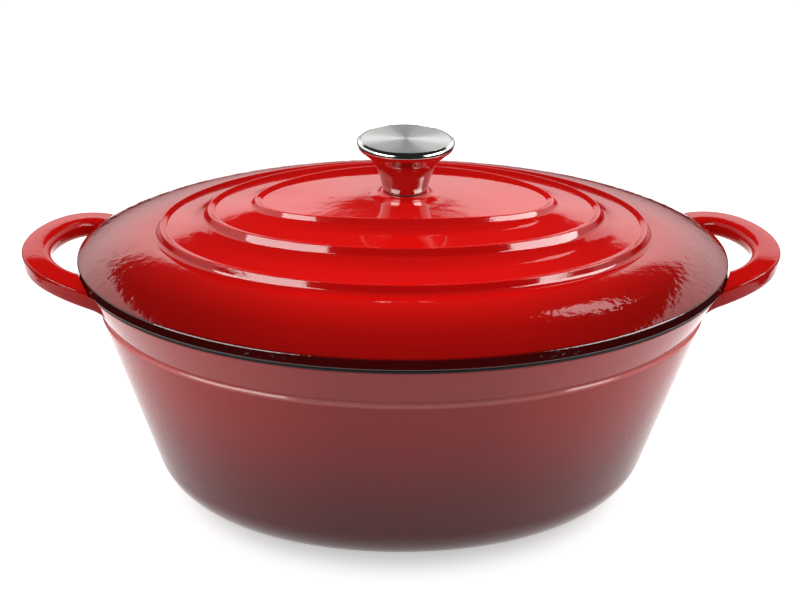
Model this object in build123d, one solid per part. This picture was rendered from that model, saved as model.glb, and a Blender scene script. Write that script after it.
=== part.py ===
"""Oval enamelled cast iron dutch oven: pot with two loop handles, domed lid, stainless knob.

Millimetres. The origin is on the floor under the middle of the pot, +X runs along the
long axis through both handles and +Z is up.

The pot and the lid are stacks of ovals. Every oval is given by its inset, the distance
that it stands inside the lid's outline, and by its height. Heights in the lid are counted
from the lid's top edge, where the dome meets the vertical edge band.
"""

import os
from math import atan2, cos, pi, radians, sin, tan

from build123d import *

# Driving dimensions

LID_LENGTH = 330.0
LID_WIDTH = 253.0
POT_HEIGHT = 135.5
LID_EDGE = 5.0
LID_TOP_EDGE = POT_HEIGHT + LID_EDGE

# Pot
RIM_OUTER_INSET = 1.6
RIM_INNER_INSET = 8.6
RIM_CHAMFER = 1.0
STEP_HEIGHT = 113.8
STEP_UPPER_INSET = 10.9
STEP_LOWER_INSET = 9.7
STEP_FILLET = 1.7
FOOT_CORNER_INSET = 40.3
FOOT_RADIUS = 37.1
WALL = 4.3
BASE = 5.0

# Lid: each ring is (crest inset, crest height, drop to the outside, drop to the inside)
RINGS = [
    (42.5, 15.1, 3.9, 1.9),
    (66.6, 22.5, 3.0, 1.7),
    (90.3, 27.5, 2.4, 1.1),
]
RING_STEP_WIDTH = 2.4
RING_LEDGE_WIDTH = 3.0
LID_WALL = 4.2
LID_MIDDLE_INSET = 106.5
LID_MIDDLE_HEIGHT = 26.4
LIP_DEPTH = 5.5
LIP_OUTER_INSET = 10.0
LIP_INNER_INSET = 13.2
UNDERSIDE_INSET = 98.0
UNDERSIDE_HEIGHT = 19.8

# Boss under the knob, and the knob
BOSS_TOP_RADIUS = 11.9
BOSS_FOOT_RADIUS = 13.0
BOSS_FILLET = 6.0
BOSS_FILLET_RISE = 3.4
BOSS_ROOT = 3.0  # how far the boss reaches down into the lid
BOSS_TOP = 30.1
GASKET_THICKNESS = 0.7
GASKET_RADIUS = 10.7
KNOB_BASE = BOSS_TOP + GASKET_THICKNESS
KNOB_RADIUS = 24.5
KNOB_EQUATOR = 24.1
KNOB_HEIGHT = 26.1
KNOB_SKIN = 1.6
KNOB_FLOOR = 2.5
DISC_RADIUS = 22.4
DISC_THICKNESS = 1.2
DISC_CHAMFER = 0.25
INSERT_RADIUS = 7.0
INSERT_HEIGHT = 14.0
INSERT_SPIGOT_RADIUS = 5.0

# M6 screw and its washers
SCREW_RADIUS = 2.95
SCREW_HOLE_RADIUS = 3.3
THREAD_BORE_RADIUS = 3.0
SCREW_REACH = 10.0
HEAD_RADIUS = 5.8
HEAD_HEIGHT = 4.0
FLAT_WASHER = (3.25, 7.0, 1.2)
SPRING_WASHER = (3.2, 5.4, 1.6)
SPRING_WASHER_GAP = 1.5

# Handles
HANDLE_CENTRE = 147.9
HANDLE_REACH = 37.2
HANDLE_HALF_SPAN = 43.2
HANDLE_TOP = 3.3
HANDLE_ROOT_DROP = 7.7
HANDLE_THICKNESS = 10.5
HANDLE_WIDTH = 14.6
HANDLE_STATIONS = 9
HANDLE_ROOT_LENGTH = 12.0
LID_CLEARANCE = 1.2

HALF_LENGTH = LID_LENGTH / 2
HALF_WIDTH = LID_WIDTH / 2


def oval(inset, height):
    """One section of the pot or the lid."""
    return Pos(0, 0, height) * Ellipse(HALF_LENGTH - inset, HALF_WIDTH - inset)


def oval_stack(sections):
    """A solid through a list of (inset, height) ovals, straight from each to the next."""
    return Solid.make_loft([oval(*section).face().outer_wire() for section in sections], True)


def lid_level(sections):
    """Lid sections, moved from heights above the lid's top edge to heights above the floor."""
    return [(inset, LID_TOP_EDGE + height) for inset, height in sections]


def foot_arc(corner_inset, radius, floor, slope, steps=8):
    """Sections round the corner where the wall, leaning in by slope, turns into the base."""
    turn = pi / 2 - slope
    setback = radius * tan(turn / 2)
    centre_inset = corner_inset + setback
    centre_height = floor + radius
    angles = [slope + turn * step / steps for step in range(steps + 1)]
    return [
        (centre_inset - radius * cos(angle), centre_height - radius * sin(angle))
        for angle in angles
    ]


def wall_slope():
    """How far the wall below the step leans from the vertical, in radians."""
    return atan2(FOOT_CORNER_INSET - STEP_LOWER_INSET, STEP_HEIGHT)


def pot_outside():
    sections = [
        (RIM_OUTER_INSET + RIM_CHAMFER, POT_HEIGHT),
        (RIM_OUTER_INSET, POT_HEIGHT - RIM_CHAMFER),
        (STEP_UPPER_INSET, STEP_HEIGHT + STEP_FILLET),
        (STEP_UPPER_INSET - 0.4, STEP_HEIGHT + STEP_FILLET / 3),
        (STEP_LOWER_INSET, STEP_HEIGHT),
    ]
    sections += foot_arc(FOOT_CORNER_INSET, FOOT_RADIUS, 0.0, wall_slope())
    return sections


def pot_inside():
    slope = wall_slope()
    wall_inset = WALL / cos(slope)
    floor_shift = BASE * tan(slope)
    corner = FOOT_CORNER_INSET + wall_inset - floor_shift
    sections = [
        (RIM_INNER_INSET, POT_HEIGHT),
        (STEP_LOWER_INSET + wall_inset, STEP_HEIGHT),
    ]
    sections += foot_arc(corner, FOOT_RADIUS - WALL, BASE, slope)
    return sections


def make_pot():
    return oval_stack(pot_outside()) - oval_stack(pot_inside())


def flank(part):
    """Height of the lid's outer slope, as a share of the full height, from edge to ring foot."""
    return (1 - (1 - part) ** 2.2) ** 0.7


def lid_outside():
    first_crest, first_height, first_drop, _ = RINGS[0]
    foot = first_crest - RING_STEP_WIDTH
    foot_height = first_height - first_drop
    sections = [(1.0, -LID_EDGE), (0.0, -LID_EDGE + 1.1), (0.0, -0.3)]
    shares = (0.02, 0.06, 0.13, 0.23, 0.36, 0.52, 0.7, 0.86, 1.0)
    sections += [(foot * share, foot_height * flank(share)) for share in shares]
    for index, (crest, height, _, drop_in) in enumerate(RINGS):
        sections.append((crest - 0.5, height - 0.2))
        sections.append((crest + 0.4, height))
        sections.append((crest + RING_LEDGE_WIDTH, height - drop_in))
        if index + 1 < len(RINGS):
            next_crest, next_height, next_drop, _ = RINGS[index + 1]
            sections.append((next_crest - RING_STEP_WIDTH, next_height - next_drop))
    sections.append((LID_MIDDLE_INSET, LID_MIDDLE_HEIGHT))
    return sections


def lid_inside():
    sections = [
        (LIP_INNER_INSET, -LID_EDGE - LIP_DEPTH),
        (LIP_INNER_INSET + 0.6, -LID_EDGE),
        (LIP_INNER_INSET + 1.6, 1.0),
        (LIP_INNER_INSET + 4.8, 4.6),
        (LIP_INNER_INSET + 11.8, 7.0),
    ]
    for crest, height, drop_out, _ in RINGS:
        sections.append((crest, height - drop_out - LID_WALL + 0.6))
    sections[-1] = (RINGS[-1][0], UNDERSIDE_HEIGHT - 1.2)
    sections.append((UNDERSIDE_INSET, UNDERSIDE_HEIGHT))
    return sections


def boss():
    """The round stand that the knob is screwed down on, filleted into the lid."""
    foot = BOSS_FOOT_RADIUS + BOSS_FILLET
    base = LID_MIDDLE_HEIGHT - BOSS_ROOT
    line = Polyline(
        (0, base),
        (foot + 1.0, base),
        (foot + 1.0, LID_MIDDLE_HEIGHT),
        (foot, LID_MIDDLE_HEIGHT),
    )
    blend = ThreePointArc(
        (foot, LID_MIDDLE_HEIGHT),
        (BOSS_FOOT_RADIUS + 1.6, LID_MIDDLE_HEIGHT + 1.1),
        (BOSS_FOOT_RADIUS - 0.3, LID_MIDDLE_HEIGHT + BOSS_FILLET_RISE),
    )
    stand = Polyline(
        (BOSS_FOOT_RADIUS - 0.3, LID_MIDDLE_HEIGHT + BOSS_FILLET_RISE),
        (BOSS_TOP_RADIUS, BOSS_TOP),
        (0, BOSS_TOP),
        (0, base),
    )
    profile = make_face(line + blend + stand)
    return Pos(0, 0, LID_TOP_EDGE) * revolve(Plane.XZ * profile, Axis.Z)


def cylinder_between(radius, low, high):
    """A cylinder on the middle axis between two heights above the lid's top edge."""
    bottom_aligned = (Align.CENTER, Align.CENTER, Align.MIN)
    return Pos(0, 0, LID_TOP_EDGE + low) * Cylinder(radius, high - low, align=bottom_aligned)


def make_lid():
    lip = [
        (LIP_OUTER_INSET + 1.2, -LID_EDGE - LIP_DEPTH),
        (LIP_OUTER_INSET, -LID_EDGE),
    ]
    body = oval_stack(lid_level(lid_outside())) + oval_stack(lid_level(lip)) + boss()
    body -= oval_stack(lid_level(lid_inside()))
    return body - cylinder_between(SCREW_HOLE_RADIUS, UNDERSIDE_HEIGHT - 10, BOSS_TOP + 10)


# Knob: outline from the foot up to the widest part, as (radius, height above the knob's foot)
KNOB_FLARE = [(11.25, 0.5), (11.9, 3.2), (13.0, 7.3), (14.3, 11.6), (16.9, 16.0), (21.9, 20.2)]


def knob_solid(shrink, low, high_radius, top):
    """The knob's round body, with its side moved in by shrink and its foot at height low."""
    outline = [(radius - shrink, height) for radius, height in KNOB_FLARE if height > low]
    side = Spline(*outline, (high_radius, KNOB_EQUATOR))
    start = outline[0]
    edges = (
        Polyline((0, top), (0, low), (start[0] - 0.4, low), start)
        + side
        + Polyline((high_radius, KNOB_EQUATOR), (DISC_RADIUS + 0.3 - shrink, top), (0, top))
    )
    return revolve(Plane.XZ * make_face(edges), Axis.Z)


def at_knob(shape):
    return Pos(0, 0, LID_TOP_EDGE + KNOB_BASE) * shape


def make_knob_shell():
    outer = knob_solid(0.0, 0.0, KNOB_RADIUS, KNOB_HEIGHT)
    recess = Pos(0, 0, KNOB_HEIGHT - DISC_THICKNESS / 2) * Cylinder(DISC_RADIUS, DISC_THICKNESS)
    hollow = knob_solid(KNOB_SKIN, KNOB_FLOOR, KNOB_RADIUS - KNOB_SKIN, KNOB_HEIGHT)
    floor_hole = Cylinder(INSERT_SPIGOT_RADIUS, 4 * KNOB_FLOOR)
    ledge_height = KNOB_HEIGHT - DISC_THICKNESS
    below_disc = Pos(0, 0, ledge_height / 2) * Cylinder(DISC_RADIUS - 1.2, ledge_height)
    return at_knob(outer - recess - (hollow & below_disc) - floor_hole)


def make_knob_disc():
    """The brushed top plate, pressed into the knob's rim, with a chamfered edge."""
    plate = Cylinder(DISC_RADIUS - 0.05, DISC_THICKNESS)
    plate = chamfer(plate.edges().group_by(Axis.Z)[-1], DISC_CHAMFER)
    return at_knob(Pos(0, 0, KNOB_HEIGHT - DISC_THICKNESS / 2) * plate)


def make_knob_insert():
    """The threaded bush inside the knob, with its spigot flush in the knob's floor."""
    body = Pos(0, 0, KNOB_FLOOR + INSERT_HEIGHT / 2) * Cylinder(INSERT_RADIUS, INSERT_HEIGHT)
    spigot = Pos(0, 0, KNOB_FLOOR / 2) * Cylinder(INSERT_SPIGOT_RADIUS - 0.05, KNOB_FLOOR)
    bore_depth = SCREW_REACH + 2.0
    bore = Pos(0, 0, bore_depth / 2) * Cylinder(THREAD_BORE_RADIUS, bore_depth)
    return at_knob(body + spigot - bore)


def make_gasket():
    ring = cylinder_between(GASKET_RADIUS, BOSS_TOP, KNOB_BASE)
    return ring - cylinder_between(SCREW_HOLE_RADIUS, BOSS_TOP - 1, KNOB_BASE + 1)


def make_washer(size, top):
    """A flat ring whose upper face is at the given height above the lid's top edge."""
    inner, outer, thickness = size
    ring = cylinder_between(outer, top - thickness, top)
    return ring - cylinder_between(inner, top - thickness - 1, top + 1)


def make_spring_washer(top):
    """A split lock washer, pressed flat by the screw head."""
    _, outer, thickness = SPRING_WASHER
    ring = make_washer(SPRING_WASHER, top)
    slit = Box(outer, SPRING_WASHER_GAP, 4 * thickness, rotation=(25, 0, 0))
    return ring - Pos(outer, 0, LID_TOP_EDGE + top - thickness / 2) * slit


def make_screw(head_top):
    """Pan head screw, driven from under the lid, with a cross recess in its head."""
    shank_top = KNOB_BASE + SCREW_REACH
    shank = cylinder_between(SCREW_RADIUS, head_top, shank_top)
    shank = chamfer(shank.edges().group_by(Axis.Z)[-1], 0.6)
    head = cylinder_between(HEAD_RADIUS, head_top - HEAD_HEIGHT, head_top)
    head = fillet(head.edges().group_by(Axis.Z)[0], 2.0)
    recess_depth = 2.2
    slot = Box(6.0, 1.3, 2 * recess_depth)
    cross = Pos(0, 0, LID_TOP_EDGE + head_top - HEAD_HEIGHT) * (slot + Rot(0, 0, 90) * slot)
    return head + shank - cross


def handle_top(angle):
    """Height of the handle's upper face above the lid's top edge, lowest at its roots."""
    return HANDLE_TOP - HANDLE_ROOT_DROP * (1 - cos(angle)) ** 2.15


def handle_section(plane):
    """The bar's section: flat on top, upright outside, rounded inside and underneath."""
    outer = HANDLE_WIDTH / 2
    box = Polyline(
        (-outer, 0), (outer, 0), (outer, -HANDLE_THICKNESS), (-outer, -HANDLE_THICKNESS), close=True
    )
    face = make_face(box)
    top_outer = face.vertices().sort_by(Axis.X)[-2:].sort_by(Axis.Y)[-1]
    face = fillet(top_outer, 1.2)
    face = fillet(face.vertices().sort_by_distance((outer, -HANDLE_THICKNESS))[0], 3.2)
    face = fillet(face.vertices().sort_by_distance((-outer, 0))[0], 4.2)
    face = fillet(face.vertices().sort_by_distance((-outer, -HANDLE_THICKNESS))[0], 4.2)
    return (plane * face).face().outer_wire()


def handle_plane(angle):
    """The plane across the bar at one angle round the loop."""
    x = HANDLE_CENTRE + HANDLE_REACH * cos(angle)
    y = HANDLE_HALF_SPAN * sin(angle)
    along = Vector(-HANDLE_REACH * sin(angle), HANDLE_HALF_SPAN * cos(angle), 0).normalized()
    outward = Vector(along.Y, -along.X, 0)
    origin = (x, y, LID_TOP_EDGE + handle_top(angle))
    return Plane(origin=origin, x_dir=outward, z_dir=-along)


def make_handle():
    """The loop on the +X side, with its roots trimmed to the pot's wall."""
    quarter = radians(90)
    step = 2 * quarter / (HANDLE_STATIONS - 1)
    planes = [handle_plane(-quarter + step * index) for index in range(HANDLE_STATIONS)]
    bar = Solid.make_loft([handle_section(plane) for plane in planes])
    for plane in (planes[0], planes[-1]):
        bar += extrude(make_face(handle_section(plane)), HANDLE_ROOT_LENGTH, dir=(-1, 0, 0))
    under_lid = [
        (-LID_CLEARANCE, LID_TOP_EDGE - LID_EDGE - 0.8),
        (-LID_CLEARANCE, LID_TOP_EDGE + 20),
    ]
    return bar - oval_stack(pot_outside()) - oval_stack(under_lid)


def main():
    washer_top = UNDERSIDE_HEIGHT
    lock_top = washer_top - FLAT_WASHER[2]
    head_top = lock_top - SPRING_WASHER[2]
    right_handle = make_handle()
    nodes = {
        "pot": make_pot(),
        "handle_right": right_handle,
        "handle_left": mirror(right_handle, about=Plane.YZ),
        "lid": make_lid(),
        "knob_shell": make_knob_shell(),
        "knob_top_disc": make_knob_disc(),
        "knob_insert": make_knob_insert(),
        "knob_gasket": make_gasket(),
        "knob_screw": make_screw(head_top),
        "knob_flat_washer": make_washer(FLAT_WASHER, washer_top),
        "knob_spring_washer": make_spring_washer(lock_top),
    }
    os.makedirs("parts", exist_ok=True)
    for name, shape in nodes.items():
        export_step(shape, f"parts/{name}.step")


main()
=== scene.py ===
"""Looks of the oval enamelled cast iron dutch oven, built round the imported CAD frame.

The scene is in metres. The sections of the castings are written in millimetres, because that
is how such castings are drawn. An inset is counted inwards from the lid's outline. A height is
counted from the lid's top edge for the lid, and from the floor for the pot.
"""

from math import cos, degrees, hypot, pi, radians, sin, tan

import bmesh
import bpy
import numpy as np
from mathutils import Matrix, Vector


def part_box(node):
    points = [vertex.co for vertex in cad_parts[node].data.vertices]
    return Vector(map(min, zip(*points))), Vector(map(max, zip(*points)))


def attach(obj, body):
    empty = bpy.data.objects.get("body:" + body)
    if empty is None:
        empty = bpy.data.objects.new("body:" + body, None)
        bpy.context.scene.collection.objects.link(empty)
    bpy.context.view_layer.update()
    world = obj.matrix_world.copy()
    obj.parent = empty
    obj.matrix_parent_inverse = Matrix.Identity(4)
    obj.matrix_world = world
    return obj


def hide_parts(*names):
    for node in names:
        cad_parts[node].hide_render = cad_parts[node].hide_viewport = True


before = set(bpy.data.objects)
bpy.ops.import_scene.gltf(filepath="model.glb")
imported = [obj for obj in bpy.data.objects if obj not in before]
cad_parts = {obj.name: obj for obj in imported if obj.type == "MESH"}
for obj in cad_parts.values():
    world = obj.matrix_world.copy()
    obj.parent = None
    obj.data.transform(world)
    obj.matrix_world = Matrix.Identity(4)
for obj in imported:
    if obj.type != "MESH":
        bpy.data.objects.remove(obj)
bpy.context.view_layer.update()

MM = 0.001

# Sizes that come from the frame, in millimetres
POT_BOX = [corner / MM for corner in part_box("pot")]
LID_BOX = [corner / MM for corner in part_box("lid")]
KNOB_BOX = [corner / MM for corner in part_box("knob_shell")]
DISC_BOX = [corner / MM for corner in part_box("knob_top_disc")]
GASKET_BOX = [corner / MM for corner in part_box("knob_gasket")]

HALF_LENGTH = LID_BOX[1].x
HALF_WIDTH = LID_BOX[1].y
LID_EDGE = 5.0  # height of the lid's edge band, which stands on the pot's rim
TOP_EDGE = POT_BOX[1].z + LID_EDGE  # height of the lid's top edge above the floor

MAX_ROUND = 1000.0  # a corner radius that takes all the room there is
CASTING_SLOTS = {"outside": 0, "black": 1, "inside": 2}  # material of each zone of a casting


# ---------------------------------------------------------------- profiles

def corner_arc(before, corner, after, radius, steps):
    """Points and directions of the arc that rounds one corner of a profile."""
    into = corner - before
    out = after - corner
    room = 0.4999 * min(np.hypot(*into), np.hypot(*out))
    into = into / np.hypot(*into)
    out = out / np.hypot(*out)
    turn = np.arccos(np.clip(into @ out, -1, 1))
    if turn < 1e-6:
        return [corner] * (steps + 1), [into] * (steps + 1)
    setback = min(radius * tan(turn / 2), room)
    radius = setback / tan(turn / 2)
    side = np.sign(into[0] * out[1] - into[1] * out[0])
    normal = np.array([-into[1], into[0]]) * side
    start = corner - into * setback
    centre = start + normal * radius
    points = []
    directions = []
    for step in range(steps + 1):
        angle = turn * step / steps
        points.append(centre - normal * radius * cos(angle) + into * radius * sin(angle))
        directions.append(into * cos(angle) + normal * sin(angle))
    return points, directions


def turn_at(before, corner, after):
    """How many degrees a profile turns by at one corner."""
    into = (corner - before) / np.hypot(*(corner - before))
    out = (after - corner) / np.hypot(*(after - corner))
    return degrees(np.arccos(np.clip(into @ out, -1, 1)))


class Profile:
    """A rounded outline, as points, directions and the zone that each point is in."""

    def __init__(self, corners, like=None, closed=True, longest=4.0, finest=9.0):
        """corners: (x, y, radius, zone). like: a profile to match point for point."""
        places = [np.array(c[:2], float) for c in corners]
        count = len(corners)
        self.plan = []
        self.points = []
        self.directions = []
        self.zones = []
        previous_end = None
        for index, (_, _, radius, zone) in enumerate(corners):
            at_end = not closed and index in (0, count - 1)
            before = places[index - 1]
            after = places[(index + 1) % count]
            corner = places[index]
            if at_end:
                other = after if index == 0 else corner
                base = corner if index == 0 else before
                heading = (other - base) / np.hypot(*(other - base))
                arc, headings, steps = [corner], [heading], 0
            else:
                steps = max(2, int(np.ceil(turn_at(before, corner, after) / finest)))
                steps = like.plan[index][0] if like else steps
                arc, headings = corner_arc(before, corner, after, radius, steps)
            fill = 0
            if previous_end is not None:
                gap = arc[0] - previous_end
                fill = int(np.hypot(*gap) // longest)
                fill = like.plan[index][1] if like else fill
                self.fill(previous_end, gap, fill, self.zones[-1])
            self.plan.append((steps, fill))
            self.points += arc
            self.directions += headings
            self.zones += [zone] * len(arc)
            previous_end = arc[-1]
        if closed:
            gap = self.points[0] - previous_end
            fill = int(np.hypot(*gap) // longest)
            fill = like.closing if like else fill
            self.fill(previous_end, gap, fill, self.zones[-1])
            self.closing = fill
        self.points = np.array(self.points)
        self.directions = np.array(self.directions)

    def fill(self, start, gap, count, zone):
        """Puts points on the straight stretch between two corners."""
        length = np.hypot(*gap)
        for step in range(1, count + 1):
            self.points.append(start + gap * step / (count + 1))
            self.directions.append(gap / length)
            self.zones.append(zone)


def oval_skin(
    name, ends, sides, materials, zone_slots,
    turns=360, closed=True, attributes=None, clockwise=False,
):
    """A skin swept round an oval: the ends profile gives x and the sides profile gives y.

    Each profile holds (radius, height) in millimetres. The height at the ends blends into
    the height at the sides as the square of the sine. A clockwise profile runs over the top
    outwards and comes back underneath.
    """
    angles = np.linspace(0, 2 * pi, turns, endpoint=False)
    c = np.cos(angles)[:, None]
    s = np.sin(angles)[:, None]
    end_r, end_h = ends.points.T
    side_r, side_h = sides.points.T
    end_dr, end_dh = ends.directions.T
    side_dr, side_dh = sides.directions.T
    place = np.stack([end_r * c, side_r * s, end_h * c * c + side_h * s * s], -1)
    around = np.stack([-end_r * s, side_r * c, 2 * (side_h - end_h) * s * c], -1)
    along = np.stack([end_dr * c, side_dr * s, end_dh * c * c + side_dh * s * s], -1)
    normal = np.cross(around, along)
    flat = np.linalg.norm(around, axis=-1) < 1e-6
    if flat.any():
        upward = np.sign(np.broadcast_to(-end_dr, flat.shape)[flat])
        normal[flat] = np.array([0, 0, 1.0]) * upward[:, None]
    normal /= np.linalg.norm(normal, axis=-1, keepdims=True)
    if clockwise:
        normal = -normal
    count = len(end_r)
    faces = []
    slots = []
    spans = count if closed else count - 1
    for turn in range(turns):
        here = turn * count
        there = (turn + 1) % turns * count
        for k in range(spans):
            n = (k + 1) % count
            face = (here + k, there + k, there + n, here + n)
            faces.append(face[::-1] if clockwise else face)
            slots.append(zone_slots[ends.zones[k]])
    mesh = bpy.data.meshes.new(name)
    mesh.from_pydata((place.reshape(-1, 3) * MM).tolist(), [], faces)
    obj = bpy.data.objects.new(name, mesh)
    bpy.context.scene.collection.objects.link(obj)
    for material in materials:
        mesh.materials.append(material)
    mesh.polygons.foreach_set("material_index", slots)
    mesh.polygons.foreach_set("use_smooth", [True] * len(faces))
    for key, values in (attributes or {}).items():
        layer = mesh.attributes.new(key, "FLOAT", "POINT")
        layer.data.foreach_set("value", np.tile(values, turns).astype(np.float32))
    mesh.update()
    mesh.normals_split_custom_set_from_vertices(normal.reshape(-1, 3).tolist())
    return obj


# ---------------------------------------------------------------- lid

RINGS = [
    # crest inset, crest height at the ends and at the sides, drop outside,
    # drop inside at the ends and at the sides
    (42.5, 13.9, 16.1, 4.4, 1.2, 1.6),
    (66.6, 21.1, 23.8, 3.6, 1.2, 1.8),
    (90.3, 25.4, 29.6, 2.6, 1.0, 2.3),
]
BAND_TILT = 0.65  # how far the edge band leans in over its height
STEP_WIDTH = 2.3
LEDGE_WIDTH = (2.8, 4.6)  # at the ends and at the sides
TREAD_RISE = 0.14  # slope of the flatter part of each tread
TREAD_FLAT = 12.0
SIDE_SPREAD = 1.5  # how much wider the innermost ring is than its inset says
BOSS_FOOT = 22.0
BOSS_FLARE = [(16.4, 0.1), (13.5, 0.9)]  # (radius, rise) of the curve up to the boss's top
BOSS_TOP_RADIUS = 11.9
BOSS_LEVEL = 27.5
SCREW_HOLE = 3.3
UNDERSIDE = 19.8
HOLLOW = [  # (inset, height) of the lid's cream inside, from the middle out to the lip
    (99.0, UNDERSIDE),
    (90.4, UNDERSIDE - 1.2),
    (66.7, 16.6),
    (42.5, 8.2),
    (25.0, 7.0),
    (18.0, 4.6),
    (14.8, 1.0),
    (13.6, -LID_EDGE),
]
LIP = [(13.3, -10.5, 1.0), (11.2, -10.5, 0.9), (10.1, -LID_EDGE, 0.7)]  # (inset, height, radius)
FLANK_PARTS = (0.02, 0.05, 0.1, 0.17, 0.26, 0.37, 0.5, 0.64, 0.78, 0.9)
FLANK_POWER = 2.2  # how quickly the flank levels off, and how blunt it starts
FLANK_BLUNT = 0.7
FLANK_LIFT = 0.3
LID_BLACK = (4.6, 5.1)  # depths below the top edge between which the enamel turns black
LID_BLACK_WIDTH = 12.0  # largest inset that this reaches


def flank(part):
    """Share of the outer slope's height, from the lid's edge to the foot of the first ring."""
    base = FLANK_LIFT ** FLANK_BLUNT
    share = (1 - (1 - part) ** FLANK_POWER + FLANK_LIFT) ** FLANK_BLUNT - base
    return share / ((1 + FLANK_LIFT) ** FLANK_BLUNT - base)


def lid_corners(half, side):
    """Corners of the lid's section in (radius, height), at the ends or at the sides."""
    boss_top = GASKET_BOX[0].z - TOP_EDGE
    crest_column = 2 if side else 1
    corners = []

    def by_inset(inset, height, radius, zone):
        corners.append((half - inset, height, radius, zone))

    corners.append((SCREW_HOLE, UNDERSIDE, 0.3, "inside"))
    for inset, height in HOLLOW:
        by_inset(inset, height, MAX_ROUND, "inside")
    for inset, height, radius in LIP:
        by_inset(inset, height, radius, "black")
    by_inset(1.0, -LID_EDGE, 0.5, "black")
    by_inset(0.0, -4.3, 0.6, "outside")
    by_inset(BAND_TILT, 0.0, 2.0, "outside")
    first = RINGS[0]
    foot_inset = first[0] - STEP_WIDTH
    foot_height = first[crest_column] - first[3]
    for part in FLANK_PARTS:
        inset = BAND_TILT + (foot_inset - BAND_TILT) * part
        by_inset(inset, foot_height * flank(part), MAX_ROUND, "outside")
    for ring in RINGS:
        crest = ring[crest_column]
        inner_foot = crest - ring[crest_column + 3]
        inset = ring[0] - (SIDE_SPREAD if side and ring is RINGS[2] else 0.0)
        ledge = LEDGE_WIDTH[1 if side else 0]
        by_inset(inset - STEP_WIDTH, crest - ring[3], 3.2, "outside")
        by_inset(inset - 0.5, crest - 0.1, 0.55, "outside")
        by_inset(inset + 0.3, crest, 0.9, "outside")
        by_inset(inset + ledge, inner_foot, 1.8, "outside")
        if ring is not RINGS[2]:
            flat = TREAD_FLAT + ledge
            by_inset(inset + flat, inner_foot + TREAD_FLAT * TREAD_RISE, MAX_ROUND, "outside")
    corners.append((BOSS_FOOT, BOSS_LEVEL, MAX_ROUND, "outside"))
    corners += [(radius, BOSS_LEVEL + rise, MAX_ROUND, "outside") for radius, rise in BOSS_FLARE]
    corners.append((BOSS_TOP_RADIUS, boss_top, 0.6, "outside"))
    corners.append((SCREW_HOLE, boss_top, 0.3, "outside"))
    return corners


def make_lid(materials):
    ends = Profile(lid_corners(HALF_LENGTH, False))
    sides = Profile(lid_corners(HALF_WIDTH, True), like=ends)
    inset = HALF_LENGTH - ends.points[:, 0]
    level = ends.points[:, 1]
    under = np.array([1.0 if zone in ("black", "inside") else 0.0 for zone in ends.zones])
    blackened = np.interp(-level, LID_BLACK, (0, 1)) * (inset < LID_BLACK_WIDTH) * under
    for profile in (ends, sides):
        profile.points[:, 1] += TOP_EDGE
    values = {"inset": inset, "blackened": blackened}
    lid = oval_skin("lid_casting", ends, sides, materials, CASTING_SLOTS, attributes=values)
    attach(lid, "lid_body")
    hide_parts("lid")
    return lid


# ---------------------------------------------------------------- pot

RIM_OUTER = 1.6
RIM_INNER = 8.6
STEP_LEVEL = 112.0
STEP_UPPER = 10.6
STEP_LOWER = 9.8
LEDGE_HIGHLIGHT_MIDDLE = 1.1  # where the painted highlight along the step is brightest, above its level
LEDGE_HIGHLIGHT_SPREAD = 0.8
RIM_BLACK = (1.0, 0.6)  # depths below the rim's top between which the enamel turns black
RIM_BLACK_WIDTH = 6.0  # largest inset that this reaches
FOOT_CORNER = 40.3
FOOT_RADIUS = 37.1
WALL = 4.47
BASE = 5.0


def pot_corners(half):
    """Corners of the pot's section in (radius, height above the floor)."""
    top = POT_BOX[1].z
    outline = [
        (FOOT_CORNER + WALL - 1.4, BASE, FOOT_RADIUS - 4.3, "inside"),
        (STEP_LOWER + WALL, STEP_LEVEL, MAX_ROUND, "inside"),
        (RIM_INNER + 0.2, top - 1.5, 3.0, "inside"),
        (RIM_INNER, top, 1.6, "black"),
        (RIM_OUTER, top, 1.3, "black"),
        (RIM_OUTER + 0.1, top - 2.2, 2.0, "outside"),
        (STEP_UPPER, STEP_LEVEL + 2.1, 1.3, "outside"),
        (STEP_LOWER, STEP_LEVEL + 0.6, 0.7, "outside"),
        (STEP_LOWER + 0.2, STEP_LEVEL - 1.0, 0.8, "outside"),
        (FOOT_CORNER, 0.0, FOOT_RADIUS, "outside"),
    ]
    corners = [(0.0, BASE, 0, "inside")]
    corners += [(half - inset, level, radius, zone) for inset, level, radius, zone in outline]
    corners.append((0.0, 0.0, 0, "outside"))
    return corners


def make_pot(materials):
    ends = Profile(pot_corners(HALF_LENGTH), closed=False)
    sides = Profile(pot_corners(HALF_WIDTH), like=ends, closed=False)
    level = ends.points[:, 1]
    inset = HALF_LENGTH - ends.points[:, 0]
    top = POT_BOX[1].z
    zone = np.array(ends.zones)
    blackened = np.where(zone == "black", 1.0, 0.0)
    low, high = (top - depth for depth in RIM_BLACK)
    near_rim = np.interp(level, (low, high), (0, 1)) * (inset < RIM_BLACK_WIDTH)
    # painted highlight: a pale band along the top of the pot's step, where light from above would
    # catch it
    ledge = np.exp(-((level - STEP_LEVEL - LEDGE_HIGHLIGHT_MIDDLE) / LEDGE_HIGHLIGHT_SPREAD) ** 2) * (zone == "outside")
    values = {"blackened": np.clip(blackened + near_rim, 0, 1), "ledge": ledge}
    pot = oval_skin(
        "pot_casting", ends, sides, materials, CASTING_SLOTS,
        turns=400, closed=False, attributes=values, clockwise=True,
    )
    close_poles(pot)
    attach(pot, "pot_body")
    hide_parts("pot")
    return pot


def close_poles(obj):
    """Joins the points that lie on the axis into one, so that the skin is closed there."""
    mesh = obj.data
    work = bmesh.new()
    work.from_mesh(mesh)
    poles = [v for v in work.verts if hypot(v.co.x, v.co.y) < 1e-6]
    bmesh.ops.remove_doubles(work, verts=poles, dist=1e-6)
    work.to_mesh(mesh)
    work.free()
    mesh.update()


# ---------------------------------------------------------------- handles

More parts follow.
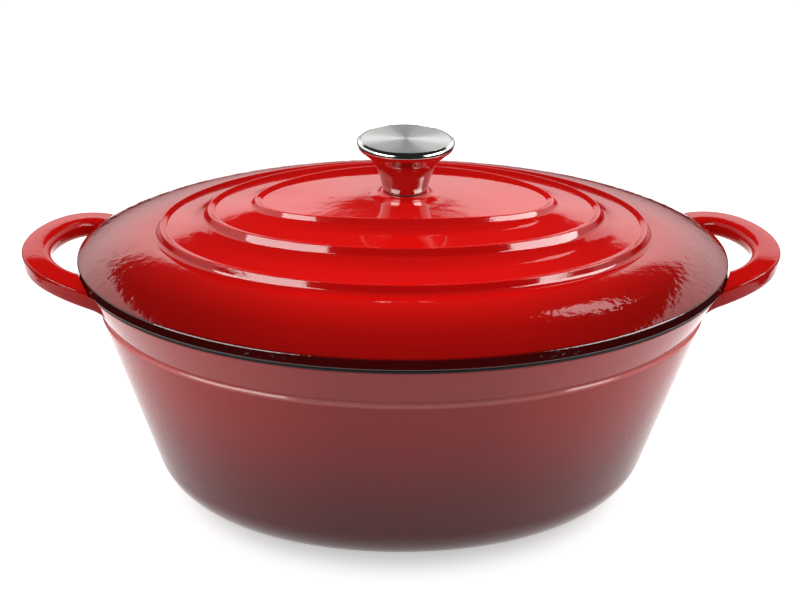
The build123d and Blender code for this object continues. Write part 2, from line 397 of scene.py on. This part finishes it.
HANDLE_CENTRE = 147.9
HANDLE_REACH = 37.2
HANDLE_HALF_SPAN = 43.2
HANDLE_WIDTH = 14.6
HANDLE_THICKNESS = 10.5
HANDLE_TOP = 3.3
ROOT_DROP = 7.7
ROOT_POWER = 2.15  # how late the upper face drops towards the roots
ROOT_SLOPE = 0.22  # how steeply the straight roots go on down
ROOT_REACH = 14.0  # length of the straight roots before they are trimmed
CRISP_EDGE = radians(38)  # edges of the trimmed bar that turn by more stay sharp
HOLE_FILLET = 8.5  # radius where the bar's inner side runs into the wall
UNDER_FILLET = 3.5  # and where its underside does
WALL_LEAN = 0.5  # how far the pot's wall leans in for each unit of height
WALL_CORE = (15.0, 105.0)  # (inset, height) of a place inside the pot's wall, well below the handles
RIM_CORE = 7.5  # inset of the middle of the wall at the rim
LID_PLAY = 0.35  # gap between the lid's edge and the handles


def pot_wall_inset(level):
    """Inset of the pot's outer wall at a height above the floor."""
    top = POT_BOX[1].z
    levels = [0.0, STEP_LEVEL, STEP_LEVEL + 2.1, top - 2.2, top]
    insets = [FOOT_CORNER, STEP_LOWER, STEP_UPPER, RIM_OUTER, RIM_OUTER]
    return np.interp(level, levels, insets)


def inset_at(x, y):
    """How far inside the lid's outline a point in plan lies, negative outside it."""
    inset = np.zeros_like(x)
    for _ in range(12):
        a = HALF_LENGTH - inset
        b = HALF_WIDTH - inset
        value = x * x / (a * a) + y * y / (b * b) - 1
        slope = 2 * x * x / a ** 3 + 2 * y * y / b ** 3
        inset = inset - value / slope
    return inset


def handle_corners():
    """The bar's section as (across, up) from the middle of its upper face."""
    outer = HANDLE_WIDTH / 2
    low = -HANDLE_THICKNESS
    return [
        (outer, -0.5, 1.3, "bar"),
        (1.0, 0.0, MAX_ROUND, "bar"),
        (-outer, -0.6, 4.4, "bar"),
        (-outer + 0.4, low, 4.4, "bar"),
        (outer - 0.8, low, 3.2, "bar"),
    ]


def fillet_swell(gap, radius):
    """How far a round fillet stands off a surface, at a distance from the wall it runs into."""
    gap = np.clip(gap, 0, radius)
    return radius - np.sqrt(np.maximum(radius ** 2 - (radius - gap) ** 2, 0))


def clearance_block():
    """What the handles keep out of: the lid's edge with its play, and the pot's cavity."""
    turns = 720
    low = TOP_EDGE - LID_EDGE - LID_PLAY
    high = TOP_EDGE + 30.0
    rings = [WALL_CORE, (RIM_CORE, low), (-LID_PLAY, low), (-LID_PLAY, high)]
    angles = np.linspace(0, 2 * pi, turns, endpoint=False)
    points = []
    for inset, height in rings:
        x = (HALF_LENGTH - inset) * np.cos(angles)
        y = (HALF_WIDTH - inset) * np.sin(angles)
        points += np.stack([x, y, np.full(turns, height)], -1).tolist()
    faces = [tuple(range(turns))[::-1], tuple(range((len(rings) - 1) * turns, len(rings) * turns))]
    for level in range(len(rings) - 1):
        here = level * turns
        above = here + turns
        for k in range(turns):
            n = (k + 1) % turns
            faces.append((here + k, here + n, above + n, above + k))
    mesh = bpy.data.meshes.new("clearance")
    mesh.from_pydata((np.array(points) * MM).tolist(), [], faces)
    block = bpy.data.objects.new("clearance", mesh)
    bpy.context.scene.collection.objects.link(block)
    return block


def trim_handle(handle):
    """Cuts the handle back to its clearances, and keeps the cut's edges crisp."""
    block = clearance_block()
    cut = handle.modifiers.new("cut", "BOOLEAN")
    cut.operation = "DIFFERENCE"
    cut.solver = "EXACT"
    cut.object = block
    graph = bpy.context.evaluated_depsgraph_get()
    name = handle.data.name
    mesh = bpy.data.meshes.new_from_object(handle.evaluated_get(graph))
    handle.modifiers.clear()
    whole = handle.data
    handle.data = mesh
    bpy.data.meshes.remove(whole)
    mesh.name = name
    outline = block.data
    bpy.data.objects.remove(block)
    bpy.data.meshes.remove(outline)
    mesh.polygons.foreach_set("use_smooth", [True] * len(mesh.polygons))
    mesh.set_sharp_from_angle(angle=CRISP_EDGE)


def make_handle(side, materials):
    section = Profile(handle_corners(), finest=8.0, longest=1.2)
    ring = len(section.points)
    quarter = radians(90)
    bend = np.linspace(-quarter, quarter, 181)
    tail = np.linspace(ROOT_REACH, 0.5, 28)
    stations = [(-quarter, -t) for t in tail] + [(a, 0.0) for a in bend]
    stations += [(quarter, -t) for t in tail[::-1]]
    across, up = section.points.T
    rows = []
    for angle, shift in stations:
        x = HANDLE_CENTRE + HANDLE_REACH * cos(angle) + shift
        y = HANDLE_HALF_SPAN * sin(angle)
        along = np.array([-HANDLE_REACH * sin(angle), HANDLE_HALF_SPAN * cos(angle)])
        along /= np.hypot(*along)
        outward = np.array([along[1], -along[0]])
        drop = ROOT_DROP * (1 - cos(angle)) ** ROOT_POWER
        top = TOP_EDGE + HANDLE_TOP - drop + shift * ROOT_SLOPE
        px = x + outward[0] * across
        py = y + outward[1] * across
        pz = top + up
        # the root runs into the wall with a cast fillet
        gap = pot_wall_inset(pz) - inset_at(px, py)
        inner_share = np.clip(0.5 - across / HANDLE_WIDTH, 0, 1) ** 2
        under_share = np.clip(-up / HANDLE_THICKNESS, 0, 1) ** 2
        inward = fillet_swell(gap, HOLE_FILLET) * inner_share
        px = px - outward[0] * inward
        py = py - outward[1] * inward
        # and down along the wall, which leans in below
        sag = fillet_swell(gap, UNDER_FILLET) * under_share
        px = px - sag * WALL_LEAN
        pz = pz - sag
        rows.append(np.stack([px * side, py, pz], -1))
    rows = np.array(rows)
    count = len(rows)
    faces = []
    for r in range(count - 1):
        for k in range(ring):
            n = (k + 1) % ring
            quad = (r * ring + k, r * ring + n, (r + 1) * ring + n, (r + 1) * ring + k)
            faces.append(quad if side < 0 else quad[::-1])
    first = tuple(range(ring))
    last = tuple(range((count - 1) * ring, count * ring))
    faces += [first[::-1], last] if side < 0 else [first, last[::-1]]
    name = "handle_right_casting" if side > 0 else "handle_left_casting"
    mesh = bpy.data.meshes.new(name)
    mesh.from_pydata((rows.reshape(-1, 3) * MM).tolist(), [], faces)
    for material in materials:
        mesh.materials.append(material)
    handle = bpy.data.objects.new(name, mesh)
    bpy.context.scene.collection.objects.link(handle)
    trim_handle(handle)
    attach(handle, "pot_body")
    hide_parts("handle_right" if side > 0 else "handle_left")
    return handle


# ---------------------------------------------------------------- knob

KNOB_FLARE = [(11.9, 3.2), (13.0, 7.3), (14.3, 11.6), (16.9, 16.0), (20.6, 19.2)]


def make_knob(materials):
    foot = KNOB_BOX[0].z
    top = KNOB_BOX[1].z
    widest = KNOB_BOX[1].x
    disc = DISC_BOX[1].x
    corners = [(5.0, 0.0, 0.2, "steel"), (11.1, 0.0, 0.5, "steel")]
    corners += [(radius, height, MAX_ROUND, "steel") for radius, height in KNOB_FLARE]
    corners += [
        (23.6, 21.6, MAX_ROUND, "steel"),
        (widest, 23.3, 1.6, "steel"),
        (widest - 0.1, 25.0, 1.5, "steel"),
        (disc + 0.35, top - foot, 0.5, "steel"),
        (disc + 0.12, top - foot, 0.1, "steel"),
        (disc + 0.08, top - foot - 1.2, 0.1, "steel"),
        (disc - 1.2, top - foot - 1.2, 0.2, "steel"),
        (11.5, 13.0, MAX_ROUND, "steel"),
        (9.5, 2.5, 1.0, "steel"),
        (5.0, 2.5, 0.2, "steel"),
    ]
    profile = Profile(corners, longest=1.5, finest=7.0)
    profile.points[:, 1] += foot
    knob = oval_skin("knob_body", profile, profile, materials, {"steel": 0}, turns=192)
    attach(knob, "lid_body")
    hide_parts("knob_shell")
    return knob


def make_knob_face(materials):
    low = DISC_BOX[0].z
    top = DISC_BOX[1].z
    edge = DISC_BOX[1].x
    corners = [
        (0.0, low, 0, "steel"),
        (edge, low, 0.1, "steel"),
        (edge, top - 0.35, 0.1, "steel"),
        (edge - 0.4, top - 0.08, 0.3, "steel"),
        (edge - 3.0, top - 0.02, MAX_ROUND, "steel"),
        (0.0, top, 0, "steel"),
    ]
    profile = Profile(corners, closed=False, longest=1.2, finest=7.0)
    face = oval_skin("knob_face", profile, profile, materials, {"steel": 0}, turns=192, closed=False)
    close_poles(face)
    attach(face, "lid_body")
    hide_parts("knob_top_disc")
    return face


def make_seal(materials):
    low = GASKET_BOX[0].z
    top = GASKET_BOX[1].z
    edge = GASKET_BOX[1].x
    corners = [
        (3.4, low, 0.1, "rubber"),
        (edge, low, 0.3, "rubber"),
        (edge, top, 0.3, "rubber"),
        (3.4, top, 0.1, "rubber"),
    ]
    profile = Profile(corners, longest=2.0)
    seal = oval_skin("knob_seal", profile, profile, materials, {"rubber": 0}, turns=96)
    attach(seal, "lid_body")
    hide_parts("knob_gasket")
    return seal


# ---------------------------------------------------------------- materials

class Nodes:
    """A short way to write node trees."""

    def __init__(self, name):
        self.material = bpy.data.materials.new(name)
        self.material.use_nodes = True
        self.tree = self.material.node_tree
        self.shader = self.tree.nodes["Principled BSDF"]

    def add(self, kind, inputs=None, **settings):
        node = self.tree.nodes.new(kind)
        for key, value in settings.items():
            setattr(node, key, value)
        for key, value in (inputs or {}).items():
            self.put(node.inputs[key], value)
        return node

    def put(self, socket, value):
        if isinstance(value, bpy.types.NodeSocket):
            self.tree.links.new(value, socket)
        else:
            socket.default_value = value

    def math(self, operation, a, b=0.0, clamp=False):
        node = self.add("ShaderNodeMath", {0: a, 1: b}, operation=operation, use_clamp=clamp)
        return node.outputs[0]

    def ramp(self, value, stops, interpolation="LINEAR"):
        node = self.add("ShaderNodeValToRGB", {"Fac": value})
        ramp = node.color_ramp
        ramp.interpolation = interpolation
        while len(ramp.elements) < len(stops):
            ramp.elements.new(0.5)
        for element, (position, colour) in zip(ramp.elements, stops):
            element.position = position
            element.color = (*colour, 1.0)
        return node.outputs["Color"]

    def mix(self, factor, a, b, blend="MIX"):
        node = self.add("ShaderNodeMix", data_type="RGBA", blend_type=blend)
        self.put(node.inputs[0], factor)
        self.put(node.inputs[6], a)
        self.put(node.inputs[7], b)
        return node.outputs[2]

    def place(self):
        """Where on the object a point is, in metres, as a vector's socket."""
        return self.add("ShaderNodeTexCoord").outputs["Object"]

    def coordinates(self):
        """The same place as the sockets X, Y and Z."""
        return self.add("ShaderNodeSeparateXYZ", {0: self.place()}).outputs

    def noise(self, scale, detail=2.0, roughness=0.5):
        inputs = {"Vector": self.place(), "Scale": scale, "Detail": detail, "Roughness": roughness}
        return self.add("ShaderNodeTexNoise", inputs).outputs["Fac"]

    def bump(self, height, distance, strength=1.0, normal=None):
        inputs = {"Height": height, "Distance": distance, "Strength": strength}
        node = self.add("ShaderNodeBump", inputs)
        if normal is not None:
            self.put(node.inputs["Normal"], normal)
        return node.outputs["Normal"]

    def attribute(self, name):
        return self.add("ShaderNodeAttribute", attribute_name=name).outputs["Fac"]

    def set(self, **values):
        for key, value in values.items():
            self.put(self.shader.inputs[key.replace("_", " ")], value)


LID_GLOSS = 1.42  # index of refraction of each glaze: how much of the room it mirrors
POT_GLOSS = 1.33
HANDLE_GLOSS = 1.25
HANDLE_FADE = (0.118, 0.14)  # heights in metres between which the handles' glaze gets lighter


def orange_peel(nodes, ripple=0.00005):
    """The slight waviness of fired enamel over cast iron."""
    normal = nodes.bump(nodes.noise(45.0, 1.0), 0.0001)
    normal = nodes.bump(nodes.noise(230.0, 2.0), ripple, normal=normal)
    return nodes.bump(nodes.noise(700.0, 2.0), 0.000006, normal=normal)


def rim_ripple(nodes):
    """The enamel ripples more where it ran down towards the lid's rim."""
    near = nodes.add("ShaderNodeMapRange", {
        "Value": nodes.attribute("inset"), "From Min": 12.0, "From Max": 32.0,
        "To Min": 0.00022, "To Max": 0.00005,
    })
    return near.outputs[0]


def enamel(name, colour_of, black_edge=True, ripple_of=None, gloss=LID_GLOSS):
    """Glossy enamel. colour_of(nodes) returns the colour's socket; for the lid and the pot this colour
    holds painted shade and painted light too.
    """
    nodes = Nodes(name)
    glaze = colour_of(nodes)
    speckle = nodes.noise(900.0, 3.0)
    mottle = nodes.ramp(speckle, [(0.35, (0.95, 0.95, 0.95)), (0.65, (1.04, 1.04, 1.04))])
    glaze = nodes.mix(1.0, glaze, mottle, "MULTIPLY")
    roughness = 0.07
    if black_edge:
        wander = nodes.math("MULTIPLY", nodes.math("SUBTRACT", nodes.noise(150.0, 2.0), 0.5), 0.5)
        edge = nodes.math("ADD", nodes.attribute("blackened"), wander)
        border = {"Value": edge, "From Min": 0.35, "From Max": 0.6}
        edge = nodes.add("ShaderNodeMapRange", border).outputs[0]
        glaze = nodes.mix(edge, glaze, (0.006, 0.005, 0.005, 1))
        roughness = nodes.math("ADD", nodes.math("MULTIPLY", edge, 0.35), 0.07)
    peel = orange_peel(nodes, ripple_of(nodes)) if ripple_of else orange_peel(nodes)
    nodes.set(Base_Color=glaze, Roughness=roughness, Normal=peel)
    nodes.shader.inputs["IOR"].default_value = gloss
    return nodes.material


def lid_colour(nodes):
    inset = nodes.math("DIVIDE", nodes.attribute("inset"), 80.0)
    glaze = nodes.ramp(inset, [
        (0.0, (0.045, 0.001, 0.001)),
        (0.009, (0.05, 0.001, 0.001)),
        (0.02, (0.30, 0.002, 0.001)),
        (0.16, (0.33, 0.002, 0.001)),
        (0.34, (0.46, 0.003, 0.002)),
        (0.52, (0.62, 0.004, 0.003)),
        (1.0, (0.62, 0.004, 0.003)),
    ])
    # painted shade: the lid's colour is made darker towards its ends and towards its back, where less
    # light falls on it
    parts = nodes.coordinates()
    sideways = nodes.math("ABSOLUTE", parts["X"])
    outward = nodes.math("DIVIDE", sideways, HALF_LENGTH * MM, clamp=True)
    painted_end_shade = nodes.ramp(outward, [
        (0.3, (1, 1, 1)),
        (0.62, (0.8, 0.8, 0.8)),
        (0.95, (0.68, 0.68, 0.68)),
    ])
    backward = nodes.math("DIVIDE", parts["Y"], HALF_WIDTH * MM, clamp=True)
    painted_back_shade = nodes.ramp(backward, [(0.0, (1, 1, 1)), (0.35, (0.72, 0.72, 0.72))])
    # the painted shade is multiplied into the lid's colour
    glaze = nodes.mix(1.0, glaze, painted_end_shade, "MULTIPLY")
    return nodes.mix(1.0, glaze, painted_back_shade, "MULTIPLY")


def pot_colour(nodes):
    parts = nodes.coordinates()
    share = nodes.math("DIVIDE", parts["Z"], POT_BOX[1].z * MM)
    glaze = nodes.ramp(share, [
        (0.0, (0.035, 0.002, 0.003)),
        (0.35, (0.075, 0.002, 0.003)),
        (0.75, (0.19, 0.002, 0.002)),
        (1.0, (0.21, 0.002, 0.002)),
    ])
    # painted highlight: the pale colour along the step is mixed into the pot's colour
    glaze = nodes.mix(nodes.attribute("ledge"), glaze, (0.50, 0.18, 0.17, 1))
    # painted light: the pot's colour is made lighter and paler towards its ends, where the side lights
    # fall
    sideways = nodes.math("ABSOLUTE", parts["X"])
    outward = nodes.math("DIVIDE", sideways, HALF_LENGTH * MM, clamp=True)
    painted_end_light = nodes.ramp(outward, [(0.2, (0.95, 0.95, 0.95)), (0.85, (1.8, 1.3, 1.3))])
    return nodes.mix(1.0, glaze, painted_end_light, "MULTIPLY")


def handle_colour(nodes):
    low, high = HANDLE_FADE
    fade = {"Value": nodes.coordinates()["Z"], "From Min": low, "From Max": high}
    share = nodes.add("ShaderNodeMapRange", fade).outputs[0]
    return nodes.ramp(share, [(0.0, (0.17, 0.003, 0.002)), (1.0, (0.44, 0.003, 0.002))])


def matte_black():
    nodes = Nodes("matte_black_rim")
    grain = nodes.noise(700.0, 4.0, 0.6)
    colour = nodes.ramp(grain, [(0.3, (0.006, 0.006, 0.006)), (0.7, (0.014, 0.013, 0.012))])
    nodes.set(Base_Color=colour, Roughness=nodes.math("ADD", nodes.math("MULTIPLY", grain, 0.2), 0.35))
    nodes.shader.inputs["Specular IOR Level"].default_value = 0.15
    nodes.set(Normal=nodes.bump(grain, 0.00004))
    return nodes.material


def cream_enamel():
    nodes = Nodes("cream_enamel")
    cloud = nodes.noise(25.0, 3.0)
    colour = nodes.ramp(cloud, [(0.3, (0.70, 0.62, 0.47)), (0.7, (0.76, 0.69, 0.54))])
    nodes.set(Base_Color=colour, Roughness=0.12, Normal=orange_peel(nodes))
    return nodes.material


def polished_steel():
    nodes = Nodes("polished_steel")
    smear = nodes.noise(60.0, 2.0)
    nodes.set(Base_Color=nodes.ramp(smear, [(0.3, (0.50, 0.49, 0.47)), (0.7, (0.56, 0.55, 0.53))]))
    nodes.set(Roughness=nodes.math("ADD", nodes.math("MULTIPLY", smear, 0.05), 0.07))
    nodes.shader.inputs["Metallic"].default_value = 1.0
    nodes.set(Normal=nodes.bump(smear, 0.00002))
    return nodes.material


def spun_steel():
    """Steel faced on a lathe: fine concentric lines that fan the light out round the middle."""
    nodes = Nodes("spun_steel")
    parts = nodes.coordinates()
    x, y = parts["X"], parts["Y"]
    squares = nodes.math("ADD", nodes.math("MULTIPLY", x, x), nodes.math("MULTIPLY", y, y))
    radius = nodes.math("SQRT", squares)
    lines = nodes.add("ShaderNodeTexNoise", {"Scale": 9000.0, "Detail": 3.0}, noise_dimensions="1D")
    nodes.put(lines.inputs["W"], radius)
    grain = lines.outputs["Fac"]
    nodes.set(Base_Color=nodes.ramp(grain, [(0.3, (0.50, 0.51, 0.49)), (0.7, (0.60, 0.61, 0.59))]))
    nodes.shader.inputs["Metallic"].default_value = 1.0
    nodes.shader.inputs["Roughness"].default_value = 0.32
    nodes.shader.inputs["Anisotropic"].default_value = 0.8
    nodes.shader.inputs["Anisotropic Rotation"].default_value = 0.25
    tangent = nodes.add("ShaderNodeTangent", direction_type="RADIAL", axis="Z")
    nodes.set(Tangent=tangent.outputs[0])
    nodes.set(Normal=nodes.bump(grain, 0.000004))
    return nodes.material


def fastener_steel():
    nodes = Nodes("fastener_steel")
    grain = nodes.noise(800.0, 3.0)
    nodes.set(Base_Color=nodes.ramp(grain, [(0.3, (0.50, 0.50, 0.49)), (0.7, (0.60, 0.60, 0.58))]))
    nodes.set(Roughness=nodes.math("ADD", nodes.math("MULTIPLY", grain, 0.15), 0.22))
    nodes.shader.inputs["Metallic"].default_value = 1.0
    nodes.set(Normal=nodes.bump(grain, 0.00001))
    return nodes.material


def black_rubber():
    nodes = Nodes("black_rubber")
    grain = nodes.noise(1200.0, 3.0)
    colour = nodes.ramp(grain, [(0.3, (0.008, 0.008, 0.008)), (0.7, (0.016, 0.016, 0.016))])
    nodes.set(Base_Color=colour)
    nodes.set(Roughness=nodes.math("ADD", nodes.math("MULTIPLY", grain, 0.2), 0.5))
    nodes.set(Normal=nodes.bump(grain, 0.00001))
    return nodes.material


# ---------------------------------------------------------------- studio

ORBIT_CENTRE = Vector((0, 0, 0.12))
LIGHT_TARGET = Vector((0, 0, 0.1))
SOFT_BOXES = [
    # name, azimuth, elevation, distance, size, watts
    ("left_box", -56, 28, 1.3, (1.0, 0.66), 28.0),
    ("right_box", 70, 28, 1.3, (1.0, 0.66), 32.0),
    ("window_box", 143, 49, 1.6, (0.26, 0.24), 0.7),
]

CEILING_LIGHT = 3.0  # watts per square metre on the floor
CEILING_SPREAD = radians(120)
CEILING_TILT = radians(-3)

SIDE_WALL_RISE = 1.05  # height of the side walls over their distance
CORNER_RISE = 0.357  # how much higher the back wall gets towards the room's corners
BACK_WALL_RISE = 0.38  # height of the back wall over its distance
OPEN_FRONT = 0.25  # how far the side walls come forward
WALL_LIGHT = 1.75
WALL_FOOT_LIGHT = 0.35
WALL_FADE = 0.3  # sine of the elevation at which the walls have their full light
WALL_EDGE = 0.02  # softness of the walls' upper and lower edges
FRONT_EDGE = 0.06  # and of the line where the side walls end in front
ROOM_LIGHT = 0.03
BACKDROP_LIGHT = 1.05  # the white that the camera itself sees behind the object

FLOOR_GLOW = 0.5  # the table under the paper is lit from below
FLOOR_BACK = 4.0
FLOOR_SIDE = 0.42
FLOOR_FRONT = 0.5  # the paper ends here in front, and the dark room begins

# Camera, counted from the middle of the lid's top edge
CAMERA_DISTANCE = 0.650
CAMERA_ELEVATION = radians(22.99)
CAMERA_AZIMUTH = radians(-2.64)
CAMERA_PITCH = radians(25.49)
CAMERA_TURN = radians(0.17)
CAMERA_ROLL = radians(0.81)
CAMERA_LENS = 57.06


def soft_box(name, place, size, power):
    """A light that shows in reflections and doesn't light the object otherwise."""
    light = bpy.data.lights.new(name, "AREA")
    light.shape = "RECTANGLE"
    light.size, light.size_y = size
    light.energy = power
    lamp = bpy.data.objects.new(name, light)
    bpy.context.scene.collection.objects.link(lamp)
    lamp.location = place
    aim = LIGHT_TARGET - place
    lamp.rotation_euler = aim.to_track_quat("-Z", "Y").to_euler()
    lamp.visible_diffuse = False
    lamp.visible_glossy = True
    lamp.visible_camera = False


def from_angles(azimuth, elevation, distance):
    """A place round the object: azimuth 0 is in front (-Y) and 90 is to the right (+X)."""
    a = radians(azimuth)
    e = radians(elevation)
    out = Vector((sin(a) * cos(e), -cos(a) * cos(e), sin(e)))
    return out * distance + ORBIT_CENTRE


def make_world():
    """White paper walls low down at the back and at both sides, and a dark room elsewhere."""
    world = bpy.data.worlds.new("studio")
    bpy.context.scene.world = world
    world.use_nodes = True
    tree = world.node_tree
    background = tree.nodes["Background"]
    background.inputs["Color"].default_value = (1, 1, 1, 1)
    output = tree.nodes["World Output"]
    direction = tree.nodes.new("ShaderNodeTexCoord").outputs["Generated"]
    parts = tree.nodes.new("ShaderNodeSeparateXYZ")
    tree.links.new(direction, parts.inputs[0])

    def math(operation, a, b=0.0):
        node = tree.nodes.new("ShaderNodeMath")
        node.operation = operation
        for socket, value in zip(node.inputs, (a, b)):
            if isinstance(value, bpy.types.NodeSocket):
                tree.links.new(value, socket)
            else:
                socket.default_value = value
        return node.outputs[0]

    def soft_step(value, width):
        node = tree.nodes.new("ShaderNodeMapRange")
        node.interpolation_type = "SMOOTHSTEP"
        tree.links.new(value, node.inputs["Value"])
        node.inputs["From Min"].default_value = -width
        node.inputs["From Max"].default_value = width
        return node.outputs[0]

    sideways = math("ABSOLUTE", parts.outputs["X"])
    side_top = math("MULTIPLY", sideways, SIDE_WALL_RISE)
    back_top = math("MULTIPLY", parts.outputs["Y"], BACK_WALL_RISE)
    back_top = math("ADD", back_top, math("MULTIPLY", sideways, CORNER_RISE))
    wall_top = math("MAXIMUM", side_top, back_top)
    below_top = soft_step(math("SUBTRACT", wall_top, parts.outputs["Z"]), WALL_EDGE)
    from_front = math("ADD", parts.outputs["Y"], math("MULTIPLY", sideways, OPEN_FRONT))
    behind_front = soft_step(from_front, FRONT_EDGE)
    wall = math("MULTIPLY", below_top, behind_front)
    fade = tree.nodes.new("ShaderNodeMapRange")
    tree.links.new(parts.outputs["Z"], fade.inputs["Value"])
    fade.inputs["From Min"].default_value = 0.0
    fade.inputs["From Max"].default_value = WALL_FADE
    fade.inputs["To Min"].default_value = WALL_FOOT_LIGHT
    fade.inputs["To Max"].default_value = WALL_LIGHT
    above_floor = soft_step(parts.outputs["Z"], WALL_EDGE)
    wall = math("MULTIPLY", wall, above_floor)
    light = math("ADD", math("MULTIPLY", wall, fade.outputs[0]), ROOM_LIGHT)
    tree.links.new(light, background.inputs["Strength"])
    seen = tree.nodes.new("ShaderNodeBackground")
    seen.inputs["Strength"].default_value = BACKDROP_LIGHT
    seen.inputs["Color"].default_value = (1, 1, 1, 1)
    pick = tree.nodes.new("ShaderNodeMixShader")
    path = tree.nodes.new("ShaderNodeLightPath")
    tree.links.new(path.outputs["Is Camera Ray"], pick.inputs[0])
    tree.links.new(background.outputs[0], pick.inputs[1])
    tree.links.new(seen.outputs[0], pick.inputs[2])
    tree.links.new(pick.outputs[0], output.inputs["Surface"])


def make_floor():
    mesh = bpy.data.meshes.new("floor")
    corners = [(-FLOOR_SIDE, -FLOOR_FRONT, 0), (FLOOR_SIDE, -FLOOR_FRONT, 0)]
    corners += [(FLOOR_SIDE, FLOOR_BACK, 0), (-FLOOR_SIDE, FLOOR_BACK, 0)]
    mesh.from_pydata(corners, [], [(0, 1, 2, 3)])
    floor = bpy.data.objects.new("floor", mesh)
    bpy.context.scene.collection.objects.link(floor)
    nodes = Nodes("white_floor")
    nodes.set(Base_Color=(0.9, 0.9, 0.9, 1), Roughness=0.9)
    nodes.shader.inputs["Specular IOR Level"].default_value = 0.1
    nodes.shader.inputs["Emission Color"].default_value = (1, 1, 1, 1)
    nodes.shader.inputs["Emission Strength"].default_value = FLOOR_GLOW
    mesh.materials.append(nodes.material)


def make_camera():
    data = bpy.data.cameras.new("camera")
    data.lens = CAMERA_LENS
    data.sensor_width = 36.0
    data.clip_start = 0.02
    camera = bpy.data.objects.new("camera", data)
    bpy.context.scene.collection.objects.link(camera)
    bpy.context.scene.camera = camera
    place = Vector((0, -cos(CAMERA_ELEVATION), sin(CAMERA_ELEVATION))) * CAMERA_DISTANCE
    heading = Matrix.Rotation(CAMERA_TURN, 3, "Z")
    right = heading @ Vector((1, 0, 0))
    ahead = heading @ Vector((0, cos(CAMERA_PITCH), -sin(CAMERA_PITCH)))
    up = heading @ Vector((0, sin(CAMERA_PITCH), cos(CAMERA_PITCH)))
    tilted_right = right * cos(CAMERA_ROLL) + up * sin(CAMERA_ROLL)
    tilted_up = up * cos(CAMERA_ROLL) - right * sin(CAMERA_ROLL)
    turn = Matrix.Rotation(CAMERA_AZIMUTH, 3, "Z")
    axes = turn @ Matrix((tilted_right, tilted_up, -ahead)).transposed()
    position = turn @ place + Vector((0, 0, TOP_EDGE * MM))
    camera.matrix_world = Matrix.Translation(position) @ axes.to_4x4()


def make_ceiling():
    """The light of a wide white ceiling, too even to be seen as a reflection."""
    light = bpy.data.lights.new("ceiling", "SUN")
    light.energy = CEILING_LIGHT
    light.angle = CEILING_SPREAD
    lamp = bpy.data.objects.new("ceiling", light)
    bpy.context.scene.collection.objects.link(lamp)
    lamp.rotation_euler = (CEILING_TILT, 0, 0)
    lamp.visible_glossy = False


def make_studio():
    make_world()
    make_floor()
    make_camera()
    scene = bpy.context.scene
    scene.view_settings.view_transform = "Standard"
    for name, azimuth, elevation, distance, size, power in SOFT_BOXES:
        soft_box(name, from_angles(azimuth, elevation, distance), size, power)
    make_ceiling()


# ---------------------------------------------------------------- assembly

CAD_FASTENERS = ("knob_screw", "knob_flat_washer", "knob_spring_washer", "knob_insert")


def finish_fasteners(steel):
    """The screw, its washers and the bush keep their CAD shapes and only get a material."""
    for node in CAD_FASTENERS:
        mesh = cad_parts[node].data
        mesh.materials.clear()
        mesh.materials.append(steel)


def main():
    lid_glaze = enamel("lid_enamel", lid_colour, ripple_of=rim_ripple)
    pot_glaze = enamel("pot_enamel", pot_colour, gloss=POT_GLOSS)
    handle_glaze = enamel("handle_enamel", handle_colour, black_edge=False, gloss=HANDLE_GLOSS)
    black = matte_black()
    cream = cream_enamel()
    make_lid([lid_glaze, black, cream])
    make_pot([pot_glaze, black, cream])
    make_handle(1, [handle_glaze])
    make_handle(-1, [handle_glaze])
    make_knob([polished_steel()])
    make_knob_face([spun_steel()])
    make_seal([black_rubber()])
    finish_fasteners(fastener_steel())
    make_studio()


main()
